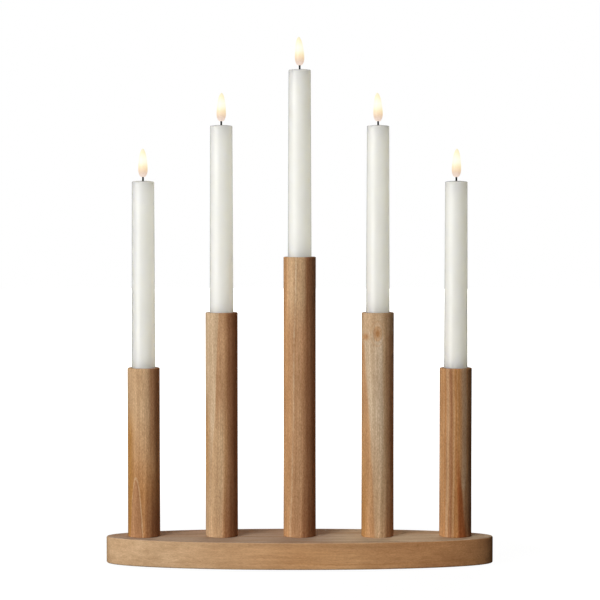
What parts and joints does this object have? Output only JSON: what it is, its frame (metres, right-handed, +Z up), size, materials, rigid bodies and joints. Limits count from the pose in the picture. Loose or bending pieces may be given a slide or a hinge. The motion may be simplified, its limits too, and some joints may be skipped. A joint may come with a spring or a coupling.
{
  "type": "advent candle holder",
  "caption": "Oval wooden board with a row of round posts that climbs to the middle, each holding a battery candle with a glowing flame-shaped bulb.",
  "frame": {"origin": "on the table, under the middle of the oval base board", "axes": "+Z up, +X along the board to the right as seen from the front, +Y to the back"},
  "size_m": [0.36, 0.09, 0.4901],
  "materials": {
    "base_wood": "oiled, fine straight grain along the board",
    "left_outer_post_wood": "oiled, orange brown with a pointed figure",
    "left_inner_post_wood": "oiled, pale beige with a light band",
    "centre_post_wood": "oiled, finely flecked orange brown",
    "right_inner_post_wood": "oiled, pale with a grey sapwood tongue",
    "right_outer_post_wood": "oiled, reddish straight stripes",
    "wax": "smooth ivory wax with a soft sheen",
    "flame_plastic": "frosted, lit from inside",
    "wick": "black sleeve",
    "core_plastic": "moulded",
    "cap_plastic": "moulded, fluted grip",
    "switch_plastic": "moulded",
    "circuit_board": "solder mask",
    "led_epoxy": "clear epoxy dome",
    "battery_jacket": "shrink sleeve on steel can",
    "contact_metal": "nickel plated strip",
    "screw_steel": "zinc plated",
    "felt": "pressed felt"
  },
  "bodies": {
    "holder": {"base_board": "base_wood", "post_screws": "screw_steel", "felt_pads": "felt", "left_outer_post": "left_outer_post_wood", "left_inner_post": "left_inner_post_wood", "centre_post": "centre_post_wood", "right_inner_post": "right_inner_post_wood", "right_outer_post": "right_outer_post_wood"},
    "left_outer_candle": {"left_outer_candle_wax": "wax", "left_outer_candle_core": "core_plastic", "left_outer_candle_wick": "wick", "left_outer_candle_flame": "flame_plastic", "left_outer_candle_led": "led_epoxy", "left_outer_candle_circuit_board": "circuit_board", "left_outer_candle_batteries": "battery_jacket"},
    "left_outer_cap": {"left_outer_candle_end_cap": "cap_plastic", "left_outer_candle_contact_spring": "contact_metal"},
    "left_outer_switch": {"left_outer_candle_switch_knob": "switch_plastic"},
    "left_inner_candle": {"left_inner_candle_wax": "wax", "left_inner_candle_core": "core_plastic", "left_inner_candle_wick": "wick", "left_inner_candle_flame": "flame_plastic", "left_inner_candle_led": "led_epoxy", "left_inner_candle_circuit_board": "circuit_board", "left_inner_candle_batteries": "battery_jacket"},
    "left_inner_cap": {"left_inner_candle_end_cap": "cap_plastic", "left_inner_candle_contact_spring": "contact_metal"},
    "left_inner_switch": {"left_inner_candle_switch_knob": "switch_plastic"},
    "centre_candle": {"centre_candle_wax": "wax", "centre_candle_core": "core_plastic", "centre_candle_wick": "wick", "centre_candle_flame": "flame_plastic", "centre_candle_led": "led_epoxy", "centre_candle_circuit_board": "circuit_board", "centre_candle_batteries": "battery_jacket"},
    "centre_cap": {"centre_candle_end_cap": "cap_plastic", "centre_candle_contact_spring": "contact_metal"},
    "centre_switch": {"centre_candle_switch_knob": "switch_plastic"},
    "right_inner_candle": {"right_inner_candle_wax": "wax", "right_inner_candle_core": "core_plastic", "right_inner_candle_wick": "wick", "right_inner_candle_flame": "flame_plastic", "right_inner_candle_led": "led_epoxy", "right_inner_candle_circuit_board": "circuit_board", "right_inner_candle_batteries": "battery_jacket"},
    "right_inner_cap": {"right_inner_candle_end_cap": "cap_plastic", "right_inner_candle_contact_spring": "contact_metal"},
    "right_inner_switch": {"right_inner_candle_switch_knob": "switch_plastic"},
    "right_outer_candle": {"right_outer_candle_wax": "wax", "right_outer_candle_core": "core_plastic", "right_outer_candle_wick": "wick", "right_outer_candle_flame": "flame_plastic", "right_outer_candle_led": "led_epoxy", "right_outer_candle_circuit_board": "circuit_board", "right_outer_candle_batteries": "battery_jacket"},
    "right_outer_cap": {"right_outer_candle_end_cap": "cap_plastic", "right_outer_candle_contact_spring": "contact_metal"},
    "right_outer_switch": {"right_outer_candle_switch_knob": "switch_plastic"}
  },
  "joints": [
    {"name": "left_outer_candle_lift", "type": "slide", "parent": "holder", "child": "left_outer_candle", "axis": [0, 0, 1], "range_m": [0, 0.04]},
    {"name": "left_outer_cap_turn", "type": "hinge", "parent": "left_outer_candle", "child": "left_outer_cap", "pos_m": [-0.145, 0, 0.159], "axis": [0, 0, 1], "range_deg": [0, 30]},
    {"name": "left_outer_switch_slide", "type": "slide", "parent": "left_outer_cap", "child": "left_outer_switch", "axis": [1, 0, 0], "range_m": [0, 0.003]},
    {"name": "left_inner_candle_lift", "type": "slide", "parent": "holder", "child": "left_inner_candle", "axis": [0, 0, 1], "range_m": [0, 0.04]},
    {"name": "left_inner_cap_turn", "type": "hinge", "parent": "left_inner_candle", "child": "left_inner_cap", "pos_m": [-0.0725, 0, 0.2105], "axis": [0, 0, 1], "range_deg": [0, 30]},
    {"name": "left_inner_switch_slide", "type": "slide", "parent": "left_inner_cap", "child": "left_inner_switch", "axis": [1, 0, 0], "range_m": [0, 0.003]},
    {"name": "centre_candle_lift", "type": "slide", "parent": "holder", "child": "centre_candle", "axis": [0, 0, 1], "range_m": [0, 0.04]},
    {"name": "centre_cap_turn", "type": "hinge", "parent": "centre_candle", "child": "centre_cap", "pos_m": [0, 0, 0.262], "axis": [0, 0, 1], "range_deg": [0, 30]},
    {"name": "centre_switch_slide", "type": "slide", "parent": "centre_cap", "child": "centre_switch", "axis": [1, 0, 0], "range_m": [0, 0.003]},
    {"name": "right_inner_candle_lift", "type": "slide", "parent": "holder", "child": "right_inner_candle", "axis": [0, 0, 1], "range_m": [0, 0.04]},
    {"name": "right_inner_cap_turn", "type": "hinge", "parent": "right_inner_candle", "child": "right_inner_cap", "pos_m": [0.0725, 0, 0.2105], "axis": [0, 0, 1], "range_deg": [0, 30]},
    {"name": "right_inner_switch_slide", "type": "slide", "parent": "right_inner_cap", "child": "right_inner_switch", "axis": [1, 0, 0], "range_m": [0, 0.003]},
    {"name": "right_outer_candle_lift", "type": "slide", "parent": "holder", "child": "right_outer_candle", "axis": [0, 0, 1], "range_m": [0, 0.04]},
    {"name": "right_outer_cap_turn", "type": "hinge", "parent": "right_outer_candle", "child": "right_outer_cap", "pos_m": [0.145, 0, 0.159], "axis": [0, 0, 1], "range_deg": [0, 30]},
    {"name": "right_outer_switch_slide", "type": "slide", "parent": "right_outer_cap", "child": "right_outer_switch", "axis": [1, 0, 0], "range_m": [0, 0.003]}
  ]
}
